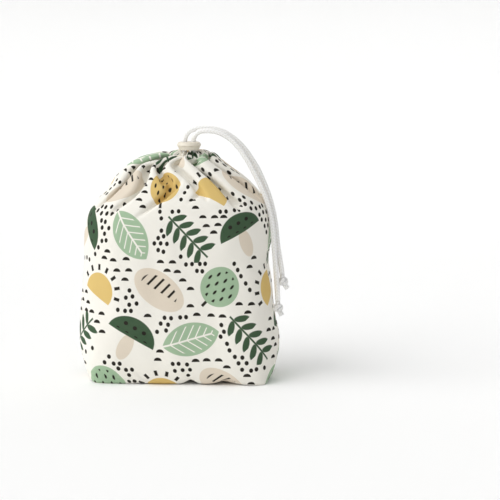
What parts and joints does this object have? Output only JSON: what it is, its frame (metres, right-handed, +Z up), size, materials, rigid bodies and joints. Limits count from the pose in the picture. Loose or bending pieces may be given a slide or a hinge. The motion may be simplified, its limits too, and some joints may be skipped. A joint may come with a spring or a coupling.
{
  "type": "drawstring pouch",
  "caption": "Boxed cotton drawstring pouch, standing and drawn shut: gathered roof, hem casing with a cord round the mouth, two-hole stopper and knotted cord ends over one shoulder.",
  "frame": {"origin": "middle of the base, on the surface that the pouch stands on", "axes": "+Z up to the mouth, front face towards -Y, +X to the right seen from the front, where the cord ends hang"},
  "size_m": [0.1866, 0.1028, 0.2208],
  "materials": {
    "printed_cotton": "woven, printed",
    "cotton_cord": "braided",
    "cream_plastic": "moulded, satin"
  },
  "bodies": {
    "pouch": {"pouch_bag": "printed_cotton", "drawcord_channel_run": "cotton_cord", "drawcord_left_tail": "cotton_cord", "drawcord_right_tail": "cotton_cord", "left_tail_knot": "cotton_cord", "right_tail_knot": "cotton_cord"},
    "stopper": {"cord_stopper": "cream_plastic"}
  },
  "joints": [
    {"name": "stopper_slide", "type": "slide", "parent": "pouch", "child": "stopper", "axis": [0, 0, 1], "range_m": [0, 0.003]}
  ]
}
